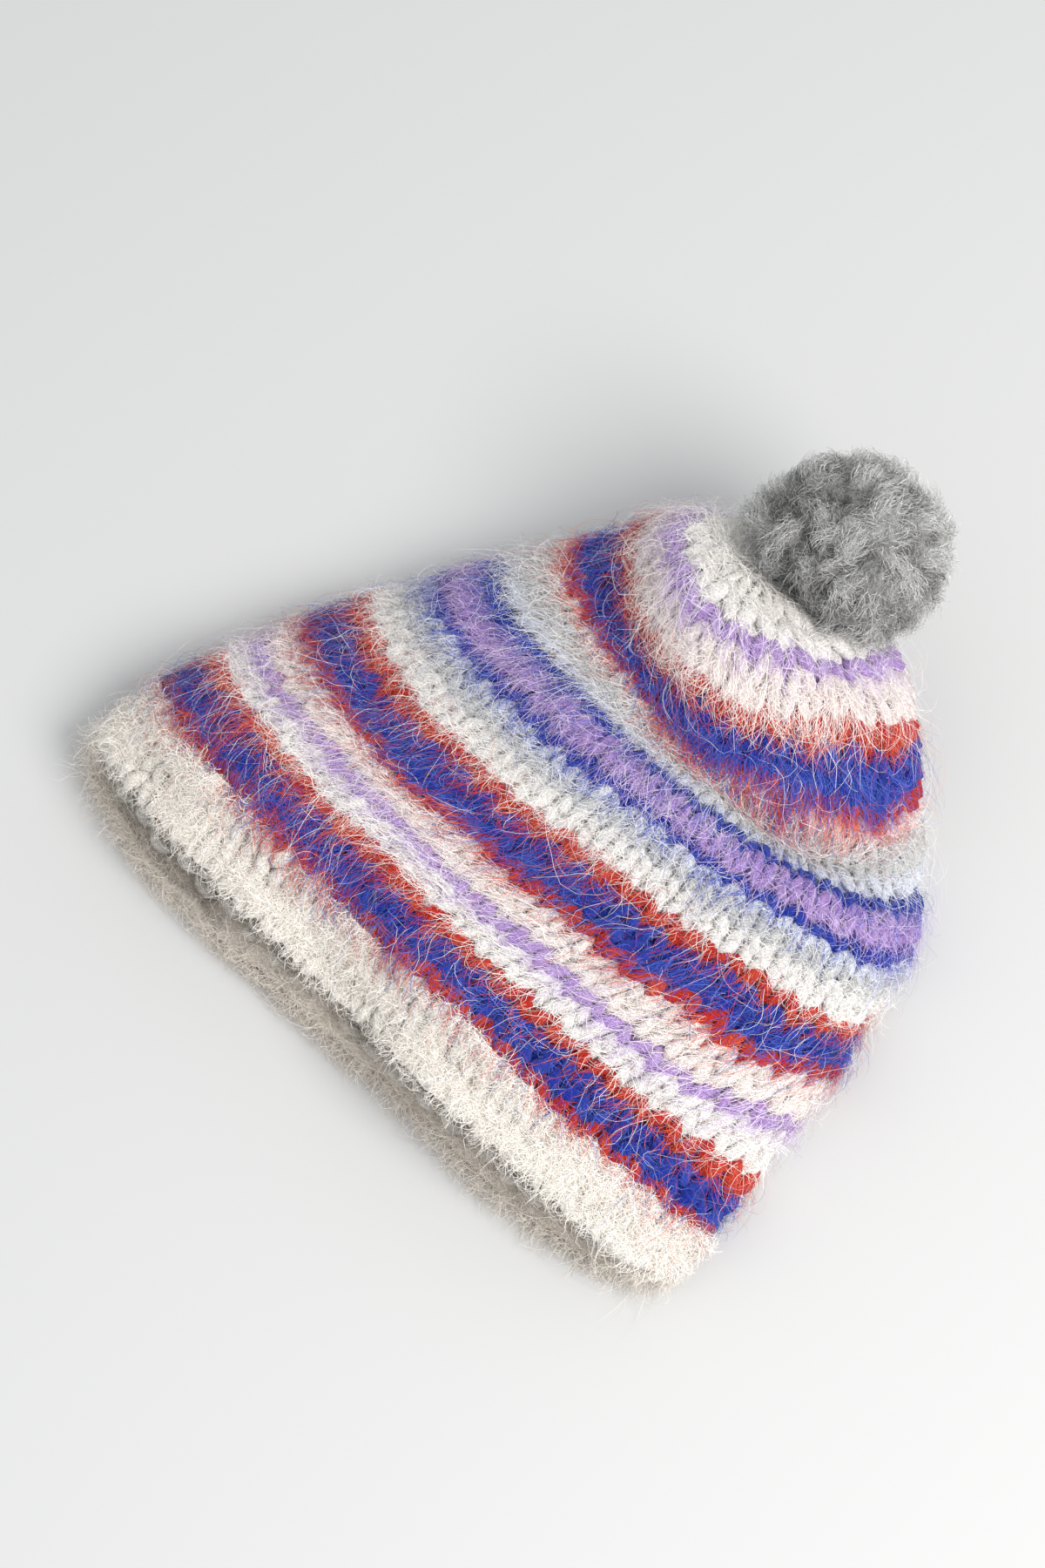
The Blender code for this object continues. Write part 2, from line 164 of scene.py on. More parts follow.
# The photo's camera, set from the hat's own frame
IMAGE_HEIGHT = 1800
CAMERA_AZIMUTH = 46.6
CAMERA_ELEVATION = 60.0
CAMERA_DISTANCE = 1.5
CAMERA_TARGET = (0.0, 0.0, 0.010)
CAMERA_RIGHT_OF_TARGET = 0.04504
CAMERA_ABOVE_TARGET = 0.06702
FOCAL_PIXELS = 5595.0
SENSOR_HEIGHT = 36.0
CLIP_END = 20

LEAST_LENGTH = 1e-12
LEAST_HEIGHT = 0.0002


def seeded(name):
    return np.random.default_rng(SEEDS[name])


def unit(ways):
    return ways / np.maximum(np.linalg.norm(ways, axis=-1, keepdims=True), LEAST_LENGTH)


def square_to(ways, axis):
    """Unit ways, turned square to an axis."""
    return unit(ways - axis * (ways * axis).sum(axis=-1, keepdims=True))


def off_floor(points):
    points[..., 2] = np.maximum(points[..., 2], LEAST_HEIGHT)
    return points


def section_at(share):
    """The section row at any share, on a smooth curve through the rows of SECTIONS."""
    rows = np.array(SECTIONS)
    places = rows[:, 0]
    slopes = np.gradient(rows, places, axis=0)
    i = int(np.clip(np.searchsorted(places, share) - 1, 0, len(places) - 2))
    step = places[i + 1] - places[i]
    u = (share - places[i]) / step
    start = rows[i] * (2 * u**3 - 3 * u**2 + 1) + slopes[i] * step * (u**3 - 2 * u**2 + u)
    end = rows[i + 1] * (3 * u**2 - 2 * u**3) + slopes[i + 1] * step * (u**3 - u**2)
    return dict(zip(SECTION_COLUMNS, start + end))


def settled(height):
    """Heights above the floor, where knit that would sink into it lies flat, with a soft bend."""
    near = np.clip(height + SETTLE_HEIGHT, 0, 2 * SETTLE_HEIGHT)
    return np.where(height > SETTLE_HEIGHT, height, near**2 / (4 * SETTLE_HEIGHT))


def section_point(section, *columns):
    return np.array([section[column] for column in columns]) * (BRIM_WIDTH / 2, HAT_LENGTH, CROWN_HEIGHT)


def knit_loop(share):
    """Points at even turns along one knitted loop, from the +X fold over the top and back
    underneath, with their ways out from the middle of the loop and square to their layer."""
    s = section_at(share)
    s["half_x"] = max(s["half_x"], 0.0)
    middle = section_point(s, "mid_x", "side_y", "side_z")
    across = section_point(s, "half_x", "lead_y", "lift_z")
    up = section_point(s, "top_x", "top_y", "top_z") - middle
    down = section_point(s, "base_x", "base_y", "base_z") - middle
    fullness = np.array([s["full_right"], s["full_left"], s["full_under"], s["full_under"]])
    angle = np.linspace(0, 2 * math.pi, FINE_LOOP + 1)
    quarter = np.minimum((angle / (math.pi / 2)).astype(int), 3)
    power = 2 / fullness[quarter]
    side = (np.sign(np.cos(angle)) * np.abs(np.cos(angle)) ** power)[:, None]
    rise = (np.abs(np.sin(angle)) ** power)[:, None]
    upper = (angle <= math.pi)[:, None]
    layer = np.where(upper, up, down)
    line = middle + side * across + rise * layer
    line[:, 2] = settled(line[:, 2])
    out_ways = side * unit(across) + rise * unit(layer)
    square_ways = np.where(upper, unit(np.cross(across, up)), unit(np.cross(across, down)))
    places = even_places(line)
    return [sampled(rows, places) for rows in (line, out_ways, square_ways)]


def even_places(line):
    """Places along a closed line that are even in each of its four quarters."""
    quarter = FINE_LOOP // 4
    per_quarter = WALES * WALE_STEPS // 4
    places = []
    for k in range(4):
        piece = line[k * quarter:(k + 1) * quarter + 1]
        walked = np.concatenate([[0], np.cumsum(np.linalg.norm(np.diff(piece, axis=0), axis=1))])
        wanted = np.linspace(0, walked[-1], per_quarter, endpoint=False)
        places.append(k * quarter + np.interp(wanted, walked, np.arange(quarter + 1)))
    return np.concatenate(places)


def sampled(rows, places):
    numbers = np.arange(len(rows))
    return np.stack([np.interp(places, numbers, rows[:, c]) for c in range(3)], axis=1)


def fold_depths(shares, turns):
    depths = np.zeros((len(shares), len(turns)))
    for share, share_spread, turn, turn_spread, part, depth in FOLDS:
        along = (shares[:, None] - share) / share_spread
        around = ((turns[None, :] - turn + 0.5) % 1 - 0.5) / turn_spread
        depths += part * depth * np.exp(-(along**2) - around**2)
    return depths


def surface_normals(skin):
    """Outward normals of a grid of loops that closes round the hat."""
    along = np.gradient(skin, axis=0)
    around = np.roll(skin, -1, axis=1) - np.roll(skin, 1, axis=1)
    normals = unit(np.cross(along, around))
    normals[-1] = normals[-2].mean(axis=0)
    return unit(normals)


def between(grid, row, left, right, u, v):
    """Values at shares u and v of the way between the grid's points round each place."""
    near = grid[row, left] * (1 - v) + grid[row, right] * v
    far = grid[row + 1, left] * (1 - v) + grid[row + 1, right] * v
    return near * (1 - u) + far * u


def soft_noise(chance, shape, row_cell, wale_cell):
    """Smooth random heights from -1 to 1 on a grid that closes in its second direction."""
    coarse = chance.uniform(-1, 1, (shape[0] // row_cell + 2, max(shape[1] // wale_cell, 3)))
    i = np.arange(shape[0])[:, None] / row_cell
    j = np.arange(shape[1])[None, :] / shape[1] * coarse.shape[1]
    low_i, low_j = i.astype(int), j.astype(int)
    u, v = i - low_i, j - low_j
    u, v = u * u * (3 - 2 * u), v * v * (3 - 2 * v)
    return between(coarse, low_i, low_j, (low_j + 1) % coarse.shape[1], u, v)


def layered_noise(chance, shape, layers):
    """Soft noise in layers, each with its own cells and share."""
    return sum(share * soft_noise(chance, shape, along, around) for along, around, share in layers)


def uneven(skin, normals):
    """The skin with soft puffs and hollows, and with rows that waver. Both fade toward the top."""
    chance = seeded("uneven")
    loops, around = skin.shape[:2]
    row = np.arange(loops)[:, None] / ROW_STEPS
    to_top = np.clip((ROWS - row) / TOP_FADE_ROWS, 0, 1)
    puffs = layered_noise(chance, (loops, around), PUFF_NOISE) * to_top
    waver = layered_noise(chance, (loops, around), WAVER_NOISE)
    waver *= np.clip(row / EDGE_FADE_ROWS, 0, 1) * to_top * WAVER_ROWS * ROW_STEPS
    place = np.clip(np.arange(loops)[:, None] + waver, 0, loops - 1)
    low = np.minimum(place.astype(int), loops - 2)
    u = (place - low)[..., None]
    column = np.arange(around)[None, :]
    puffed = skin + normals * (puffs * PUFF_HEIGHT)[..., None]
    return puffed[low, column] * (1 - u) + puffed[low + 1, column] * u


def make_surface():
    """The knit's outer skin, its normals and the ways through its wall, on a grid of rows and wales."""
    shares = np.linspace(0, 1, ROWS * ROW_STEPS + 1)
    turns = np.arange(WALES * WALE_STEPS) / (WALES * WALE_STEPS)
    loops = [knit_loop(share) for share in shares]
    smooth, out_ways, square_ways = (np.stack(rows) for rows in zip(*loops))
    normals = surface_normals(smooth)
    skin = smooth - normals * fold_depths(shares, turns)[:, :, None]
    skin = uneven(skin, normals)
    skin[:, :, 2] = np.maximum(skin[:, :, 2], 0)
    square = (normals * square_ways).sum(axis=2, keepdims=True)
    inward = -out_ways * np.sqrt(np.maximum(1 - square**2, 0)) - square_ways * square
    crown = skin[BRIM_ROWS * ROW_STEPS:].reshape(-1, 3)
    low, high = (np.array(corner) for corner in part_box("crown"))
    shift = (low + high) / 2 - (crown.min(axis=0) + crown.max(axis=0)) / 2
    shift[2] = 0
    return skin + shift, surface_normals(skin), inward, shift


SKIN, NORMALS, INWARD, SHIFT = make_surface()


JUST_UNDER = 1e-6
# The least lengths of a row and a wale that fibres are laid by
LEAST_ROW = 0.002
LEAST_WALE = 0.0008


def grid_at(grid, rows, wales):
    """Values of a grid of the knit at any rows and wales, running straight on past the edge."""
    i = np.minimum(rows * ROW_STEPS, ROWS * ROW_STEPS - JUST_UNDER)
    j = wales * WALE_STEPS
    low_i = np.clip(np.floor(i).astype(int), 0, ROWS * ROW_STEPS - 1)
    low_j = np.floor(j).astype(int)
    count = grid.shape[1]
    u, v = (i - low_i)[..., None], (j - low_j)[..., None]
    return between(grid, low_i, low_j % count, (low_j + 1) % count, u, v)


def on_knit(rows, wales, heights):
    """Points at a height over the knit's outer skin. Past the edge the normals stay as at the edge."""
    normals = unit(grid_at(NORMALS, np.maximum(rows, 0), wales))
    return grid_at(SKIN, rows, wales) + normals * heights[..., None], normals


def pitch_at(rows, wales):
    """The width of one wale there."""
    gap = grid_at(SKIN, rows, wales + 0.5) - grid_at(SKIN, rows, wales - 0.5)
    return np.linalg.norm(gap, axis=-1)


def local_steps(rows, wales):
    """The lengths of one row and one wale there."""
    gap = grid_at(SKIN, rows + 0.5, wales) - grid_at(SKIN, rows - 0.5, wales)
    return np.maximum(np.linalg.norm(gap, axis=-1), LEAST_ROW), np.maximum(pitch_at(rows, wales), LEAST_WALE)


# The dye: the scale of its blotches, how much a strand's own chance counts beside them, and between
# which sums of the two it runs from deep to pale
BLOTCH_SCALE = 150.0
STRAND_CHANCE = 0.9
DEEP_UP_TO = 0.5
PALE_FROM = 1.45
NOISE_DETAIL = 3.0


def set_inputs(material, node, inputs):
    """Values for a node's inputs, or links from other nodes' outputs."""
    for name, value in inputs.items():
        if isinstance(value, bpy.types.NodeSocket):
            material.node_tree.links.new(value, node.inputs[name])
        else:
            node.inputs[name].default_value = value


def add_node(material, kind, inputs, **settings):
    """The outputs of a new node."""
    node = material.node_tree.nodes.new("ShaderNode" + kind)
    for name, value in settings.items():
        setattr(node, name, value)
    set_inputs(material, node, inputs)
    return node.outputs


def set_shader(material, inputs):
    set_inputs(material, material.node_tree.nodes["Principled BSDF"], inputs)


def plain_material(name, inputs):
    material = bpy.data.materials.new(name)
    material.use_nodes = True
    set_shader(material, inputs)
    return material


def object_noise(material, scale, **inputs):
    """Noise that stays with the object."""
    place = add_node(material, "TexCoord", {})["Object"]
    values = {"Scale": scale, "Detail": NOISE_DETAIL, "Vector": place, **inputs}
    return add_node(material, "TexNoise", values)["Fac"]


def add_relief(material, scale, height):
    """The fine relief of matted fibres."""
    fibres = object_noise(material, scale, Distortion=1.5)
    bump = add_node(material, "Bump", {"Strength": 1.0, "Distance": height, "Height": fibres})
    set_shader(material, {"Normal": bump["Normal"]})


def wool_material(name, tones, spread, rarity, roughness, gloss, sheen):
    """Wool with a colour that differs from strand to strand and along each, between a deep and a pale
    tone. The rarer the pale strands, the more of them are deep. Its gloss is the specular level."""
    material = plain_material(
        name, {"Roughness": roughness, "Specular IOR Level": gloss, "Sheen Weight": sheen}
    )
    deep, pale = tones
    strand = add_node(material, "NewGeometry", {})["Random Per Island"]
    blotch = object_noise(material, BLOTCH_SCALE)
    rare = add_node(material, "Math", {0: strand, 1: rarity}, operation="POWER")["Value"]
    both = add_node(material, "Math", {0: rare, 1: STRAND_CHANCE, 2: blotch}, operation="MULTIPLY_ADD")
    ends = {"From Min": DEEP_UP_TO, "From Max": PALE_FROM, "To Max": spread}
    ramp = add_node(material, "MapRange", {"Value": both["Value"], **ends})["Result"]
    colours = {"Factor": ramp, "A": (*deep, 1), "B": (*pale, 1)}
    mix = add_node(material, "Mix", colours, data_type="RGBA")["Result"]
    set_shader(material, {"Base Color": mix})
    return material


def yarn_material(name, tones):
    """A plump strand: fine fibre relief and a soft sheen."""
    material = wool_material(name, tones, spread=0.2, rarity=1.0, roughness=0.9, gloss=0.2, sheen=0.1)
    add_relief(material, scale=1000.0, height=0.0014)
    return material


def fuzz_material(name, tones):
    """Single fibres, some dyed as deep as the yarn and some nearly clear."""
    return wool_material(name, tones, spread=1.0, rarity=2.2, roughness=0.6, gloss=0.3, sheen=0.15)


YARN_MATERIALS = [yarn_material(f"yarn_{name}", tones) for name, tones in YARNS.items()]
FUZZ_MATERIALS = [fuzz_material(f"fuzz_{name}", tones) for name, tones in YARNS.items()]


def add_object(name, data):
    item = bpy.data.objects.new(name, data)
    bpy.context.scene.collection.objects.link(item)
    return item


def add_piece(name, mesh, replaced=()):
    """An object of this mesh that rides with the hat."""
    piece = add_object(name, mesh)
    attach(piece, "root")
    if replaced:
        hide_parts(*replaced)


def make_piece(name, points, faces, face_materials, materials, replaced=(), smooth=True):
    """One mesh piece. face_materials holds a number for each face."""
    mesh = bpy.data.meshes.new(name)
    mesh.from_pydata(points.reshape(-1, 3).tolist(), [], faces)
    for material in materials:
        mesh.materials.append(material)
    mesh.polygons.foreach_set("material_index", np.asarray(face_materials, dtype=np.int32))
    if smooth:
        mesh.shade_smooth()
    mesh.update()
    add_piece(name, mesh, replaced)


def grid_faces(loops, around, flip=False):
    i = np.arange(loops - 1)[:, None]
    j = np.arange(around)[None, :]
    onward = (j + 1) % around
    near, far = i * around, (i + 1) * around
    quad = np.stack([near + j, near + onward, far + onward, far + j], -1).reshape(-1, 4)
    return quad[:, ::-1] if flip else quad


def tube_faces(tubes, rings, sides):
    """Quads of many tubes whose points are numbered tube by tube, ring by ring."""
    start = np.arange(tubes)[:, None, None] * rings * sides
    return (grid_faces(rings, sides)[None] + start).reshape(-1, 4).tolist()


# A stitch's leg runs from the V's tip, on the edge side, out to the wale's border. Its path is told in
# rows along and wales across
LEG_START = -0.25
LEG_LENGTH = 1.75
LEG_FOOT = 0.05
LEG_SPREAD = 0.42
LEG_WIDTH = 0.215
LEG_THICKNESS = 0.0022
LEG_SINK = 0.0030
LEG_BULGE = 0.0026
LEG_RINGS = 6
LEG_SIDES = 6
UNDER_RINGS = 4
UNDER_SIDES = 5
# How soon a leg's arch peaks, how soon it spreads, and how blunt and how thin its ends are
PEAK_POWER = 0.75
SPREAD_POWER = 0.85
BLUNT_POWER = 0.6
LEAST_ARCH = 0.02
# How unevenly the legs lie, and how their girth differs, from leg to leg and round each
UNEVEN_ROWS = 0.07
UNEVEN_WALES = 0.03
UNEVEN_HEIGHT = 0.0003
UNEVEN_GIRTH = 0.08
LEG_LUMPS = 0.07
FULL_PITCH = 0.009
# A row, and how many stitches each row has from there on
DECREASES = ((0, 46), (25, 40), (28, 34), (31, 28), (34, 22), (36, 15))
# From this row on the gathers draw each stitch out over so many rows
GATHER_ROW = 36
GATHERED_ROWS = 2
BLUE_DROP = -0.20
BORDER_LIFT = 0.18


def leg_course(share):
    """Rows along, wales across, height and plumpness at a share of a leg."""
    arch = np.sin(math.pi * share**PEAK_POWER)
    return (
        LEG_START + LEG_LENGTH * share,
        LEG_FOOT + LEG_SPREAD * share**SPREAD_POWER,
        LEG_BULGE * arch - LEG_SINK,
        np.maximum(arch, LEAST_ARCH) ** BLUNT_POWER,
    )


def tube_rings(centre, sideways, outward, wide, thick, sides):
    """Points round each centre, on an oval of these half widths."""
    angle = np.linspace(0, 2 * math.pi, sides, endpoint=False)
    return (
        centre[..., None, :]
        + sideways[..., None, :] * (np.cos(angle) * wide)[..., None]
        + outward[..., None, :] * (np.sin(angle) * thick)[..., None]
    )


def stitch_legs(rows, wales, widths, rings, sides, chance):
    """Points of both legs of the stitches at these rows and wales, as leg, ring, side. Each leg is
    tucked behind the next row's tip."""
    lean = np.array([-1.0, 1.0])[None, :, None]
    count = len(rows)
    jitter = chance.normal(0, 1, (4, count, 2, 1))
    along, across, height, plump = leg_course(np.linspace(0, 1, rings))
    first = (rows + ROW_SHIFTS[rows.astype(int)])[:, None, None]
    left, width, drawn = (values[:, None, None] for values in (wales, widths, stitch_rows(rows)))
    path_rows = first + along * drawn + jitter[0] * UNEVEN_ROWS
    path_wales = left + width * (0.5 + lean * across + jitter[1] * UNEVEN_WALES)
    pitch = stitch_pitch(rows, wales, widths)[:, None, None]
    slender = np.minimum(pitch / FULL_PITCH, 1)
    centre, normal = on_knit(path_rows, path_wales, (height + jitter[2] * UNEVEN_HEIGHT) * slender)
    tangent = unit(np.gradient(centre, axis=2))
    outward = square_to(normal, tangent)
    sideways = np.cross(tangent, outward)
    fat = plump * (1 + UNEVEN_GIRTH * jitter[3])
    lumps = 1 + LEG_LUMPS * chance.normal(0, 1, (count, 2, rings, sides))
    wide = (fat * LEG_WIDTH * pitch)[..., None] * lumps
    thick = (fat * LEG_THICKNESS * slender)[..., None] * lumps
    legs = tube_rings(centre, sideways, outward, wide, thick, sides)
    return off_floor(legs.reshape(count * 2, rings, sides, 3))


def make_row_shifts():
    """How far each row moves along the knit, so that the blue stands wider than what borders it."""
    shifts = np.zeros(ROWS)
    for row in range(BRIM_ROWS, ROWS):
        own, below = YARN_NAMES[ROW_YARNS[row]], YARN_NAMES[ROW_YARNS[row - 1]]
        if own == "blue" and below != "blue":
            shifts[row] = BLUE_DROP
        elif own != "blue" and below == "blue":
            shifts[row] = BORDER_LIFT
    return shifts


ROW_SHIFTS = make_row_shifts()


def stitch_rows(rows):
    """How many rows a stitch is drawn out over."""
    return np.where(rows < GATHER_ROW, 1.0, GATHERED_ROWS)


def stitch_pitch(rows, wales, widths):
    return pitch_at(rows + 0.5, wales + 0.5 * widths) * widths


def stitch_places(first_row, last_row, first_wale, last_wale):
    """Rows, left borders and widths of the stitches, in wales of the edge."""
    rows, borders, widths = [], [], []
    for row in range(first_row, last_row):
        if row > GATHER_ROW and (row - GATHER_ROW) % GATHERED_ROWS:
            continue
        count = [stitches for start, stitches in DECREASES if start <= row][-1]
        width = WALES / count
        numbers = np.arange(math.ceil(first_wale / width), math.ceil(last_wale / width))
        rows.append(np.full(len(numbers), float(row)))
        borders.append(numbers * width)
        widths.append(np.full(len(numbers), width))
    return np.concatenate(rows), np.concatenate(borders), np.concatenate(widths)


def make_stitches(name, first_row, last_row, first_wale, last_wale, rings, sides, slot):
    rows, wales, widths = stitch_places(first_row, last_row, first_wale, last_wale)
    legs = stitch_legs(rows, wales, widths, rings, sides, seeded(name))
    faces = tube_faces(len(legs), rings, sides)
    numbers = np.repeat(row_yarn(rows), 2 * (rings - 1) * sides)
    make_piece(name, legs, faces, numbers, YARN_MATERIALS)


def row_yarn(rows):
    return np.array(ROW_YARNS)[np.clip(np.floor(rows).astype(int), 0, ROWS - 1)]


# The knit's inner body, just under the stitches
BODY_SINK = 0.0022
BODY_WALE_STEPS = 2


def make_crown_body():
    """The closed wall that carries the stitches, striped inside too."""
    wales = np.arange(WALES * BODY_WALE_STEPS) / BODY_WALE_STEPS
    rows, wales = np.meshgrid(np.arange(BRIM_ROWS, ROWS + 1.0), wales, indexing="ij")
    outer, _ = on_knit(rows, wales, np.full(rows.shape, -BODY_SINK))
    inner = grid_at(SKIN, rows, wales) + grid_at(INWARD, rows, wales) * KNIT_WALL
    loops, around = rows.shape
    points = off_floor(np.concatenate([outer.reshape(-1, 3), inner.reshape(-1, 3)]))
    skin = grid_faces(loops, around)
    lining = grid_faces(loops, around, flip=True) + loops * around
    j = np.arange(around)
    onward = (j + 1) % around
    rim = np.stack([j, j + loops * around, onward + loops * around, onward], -1)
    faces = np.concatenate([skin, lining, rim]).tolist()
    yarn = row_yarn(rows[:-1].ravel())
    numbers = np.concatenate([yarn, yarn, np.full(around, ROW_YARNS[BRIM_ROWS])])
    make_piece("crown_body", points, faces, numbers, YARN_MATERIALS, ["crown"])


# The edge band
BAND_LOOPS = 34
BAND_WALE_STEPS = 8
BAND_WALL = 0.007
BAND_LUMP = 0.0029
BAND_ROW_LENGTH = 0.0075
# Where the lower layer's lip reaches out from under the upper one: the wale, how many wales it spreads
# over, and how far it reaches
LOW_LIPS = ((28.5, 4.5, 0.0085), (41.0, 3.5, 0.0040))
LIP_REACH_ROWS = 3
# How much of its lumps the lip keeps
LIP_LUMPS = 0.5


def band_grid():
    """The fluffy edge band: one lumpy skin from the seam, round the lip and back inside. Returns its
    points, its outward normals and the ways from the seam toward the lip."""
    u = np.linspace(0, 1, BAND_LOOPS)
    wales = np.arange(WALES * BAND_WALE_STEPS) / BAND_WALE_STEPS
    lip = BAND_WALL / 2
    depth_rows = np.abs(1 - 2 * u) * BRIM_ROWS
    from_lip = np.clip(1 - depth_rows * BAND_ROW_LENGTH / lip, 0, 1)
    side = np.where(u < 0.5, 1.0, -1.0)
    through = lip * (1 - side * np.sqrt(1 - from_lip**2))
    rows, round_wales = np.meshgrid(depth_rows, wales, indexing="ij")
    inward = unit(grid_at(INWARD, rows, round_wales))
    points = grid_at(SKIN, rows, round_wales) + inward * through[:, None, None]
    toward_lip = unit(np.gradient(points, axis=0)) * side[:, None, None]
    normals = surface_normals(points)
    normals *= np.sign((normals * -inward).sum(axis=2).mean(axis=1) * side)[:, None, None]
    reach = sum(far * np.exp(-(((wales - wale) / spread) ** 2)) for wale, spread, far in LOW_LIPS)
    near_lip = np.clip(1 - depth_rows / LIP_REACH_ROWS, 0, 1)[:, None]
    points = points + toward_lip * (near_lip * reach)[..., None]
    lumps = layered_noise(seeded("edge_band"), rows.shape, BAND_NOISE)
    fade = np.clip(depth_rows, 0, 1)[:, None] * (1 - LIP_LUMPS) + LIP_LUMPS
    points = off_floor(points + normals * (lumps * BAND_LUMP * fade)[..., None])
    return points, normals, toward_lip


def band_yarn(wales):
    """The upper layer's yarn, and below it the same ivory darkened with painted shade."""
    return np.where(wales < UPPER_WALES, YARN_NAMES.index("ivory"), YARN_NAMES.index("ivory_painted_shade"))


def make_band():
    points, _, _ = band_grid()
    faces = grid_faces(BAND_LOOPS, points.shape[1], flip=True).tolist()
    numbers = band_yarn(np.tile(np.arange(points.shape[1]) / BAND_WALE_STEPS, BAND_LOOPS - 1))
    make_piece("edge_band", points, faces, numbers, YARN_MATERIALS, ["brim"])


# By how much a fibre narrows before its last stretch, and how many radians of wave its swing has
TIP_NARROWING = 0.5
SWING_WAVE = 7.5
# How far fibres may reach past the hat's box, and how often and to what share those beyond it shrink
MOST_PROUD = 0.0085
SHORTENINGS = 4
SHORTENED = 0.6
LAST_FIBRE_ROW = ROWS - 0.2
FACING_SPREAD = 0.25


def strands(lines, width, facing):
    """Thin flat fibres along lines, drawn out to a point. Each starts with its flat side to its facing
    way and doesn't twist."""
    points = lines.shape[1]
    tangent = unit(np.gradient(lines, axis=1))
    across = np.cross(tangent[:, 0], facing)
    ways = []
    for k in range(points - 1):
        across = square_to(across, tangent[:, k])
        ways.append(across)
    taper = 1 - TIP_NARROWING * np.linspace(0, 1, points - 1)
    half = np.stack(ways, axis=1) * (np.asarray(width)[:, None] / 2 * taper)[..., None]
    body = lines[:, :-1]
    pairs = np.stack([body - half, body + half], axis=2).reshape(len(lines), -1, 3)
    return np.concatenate([pairs, lines[:, -1:]], axis=1)


def strand_faces(count, points):
    """Quads along each fibre and the triangle at its tip."""
    k = np.arange(points - 2)
    quad = np.stack([2 * k, 2 * k + 1, 2 * k + 3, 2 * k + 2], -1)
    start = np.arange(count)[:, None, None] * (2 * points - 1)
    quads = (quad[None] + start).reshape(-1, 4)
    tips = (np.array([[2 * points - 4, 2 * points - 3, 2 * points - 2]])[None] + start).reshape(-1, 3)
    return quads.tolist() + tips.tolist()


def strand_numbers(numbers, points):
    return np.concatenate([np.repeat(numbers, points - 2), numbers])


def curled_paths(length, heading, bend, swing, points, chance):
    """Flat paths from the origin, toward the edge and across: each sets out on a heading, bends
    steadily by so many radians in all, and swings to and fro on the way."""
    share = (np.arange(points - 1) + 0.5) / (points - 1)
    phase = chance.uniform(0, 2 * math.pi, (len(length), 1))
    angle = heading[:, None] + bend[:, None] * share + swing[:, None] * np.sin(SWING_WAVE * share + phase)
    step = length[:, None] / (points - 1)
    start = np.zeros((len(length), 1))
    along = np.concatenate([start, np.cumsum(step * np.cos(angle), axis=1)], axis=1)
    across = np.concatenate([start, np.cumsum(step * np.sin(angle), axis=1)], axis=1)
    return along, across


def kept_near(lines):
    """Fibres that would reach too far past the hat's box, drawn back toward their roots."""
    lowest, highest = np.array(cad_low) - MOST_PROUD, np.array(cad_high) + MOST_PROUD
    roots = lines[:, :1].copy()
    for _ in range(SHORTENINGS):
        beyond = ((lines < lowest) | (lines > highest)).any(axis=(1, 2))
        lines[beyond] = roots[beyond] + (lines[beyond] - roots[beyond]) * SHORTENED
    return off_floor(lines)


def knit_fibres(rows, wales, base, paths, rise, landing):
    """Lines of fibres that lie over the knit from a base height on. landing is how much of its arch
    each goes through: 1 comes back down, less leaves the tip in the air."""
    along, across = paths
    row_step, pitch = local_steps(rows, wales)
    share = np.linspace(0, 1, along.shape[1])[None, :]
    path_rows = rows[:, None] - along / row_step[:, None]
    path_wales = wales[:, None] + across / pitch[:, None]
    heights = base[:, None] + rise[:, None] * np.sin(math.pi * share * landing[:, None])
    lines, normals = on_knit(np.minimum(path_rows, LAST_FIBRE_ROW), path_wales, heights)
    return kept_near(off_floor(lines)), normals[:, 0]


def make_fibres(name, lines, normals, width, numbers, chance):
    facing = unit(normals + chance.normal(0, FACING_SPREAD, normals.shape))
    strips = strands(lines, width, facing)
    faces = strand_faces(len(lines), lines.shape[1])
    numbers = strand_numbers(numbers, lines.shape[1])
    make_piece(name, strips, faces, numbers, FUZZ_MATERIALS, smooth=False)


# How thick the mohair stands where the stitches show best, how much thicker it gets toward the left of
# the upper layer, from which wale on and over how many, and the rows in which it closes on the gathers
THIN_SHAG = 0.48
MORE_SHAG = 0.34
SHAG_WALE = 7
SHAG_WALES = 9
SHAG_ROWS = 2


def shagginess(rows, wales):
    """How thick the mohair stands, from 0 to 1."""
    share = np.clip((wales - SHAG_WALE) / SHAG_WALES, 0, 1)
    gathered = np.clip((rows - GATHER_ROW + SHAG_ROWS) / SHAG_ROWS, 0, 1)
    return np.maximum(THIN_SHAG + MORE_SHAG * share * share * (3 - 2 * share), gathered)


# Roots of fibres: the least share kept on small stitches, how far off the leg's middle they may stand,
# as a share, and how far that is along, across and up
LEAST_KEPT = 0.3
ROOT_SPREAD = 0.95
ROOT_ALONG = 0.12
ROOT_ACROSS = 0.9
ROOT_UP = 0.92
# How many fibres of each kind a leg bears, from and to which share of the leg, and how strongly they
# thin out with the shagginess
ROOT_COLUMNS = ("each", "from_share", "to_share", "thinning")
LEG_ROOTS = {
    "fuzz_short": (31, 0.05, 0.95, 0.7),
    "fuzz_combed": (23, 0.05, 0.90, 1.7),
    "fuzz_fringe": (20, 0.00, 0.45, 1.2),
    "fuzz_long": (5, 0.05, 0.90, 1.0),
    "fuzz_under": (6, 0.05, 0.95, 1.0),
}


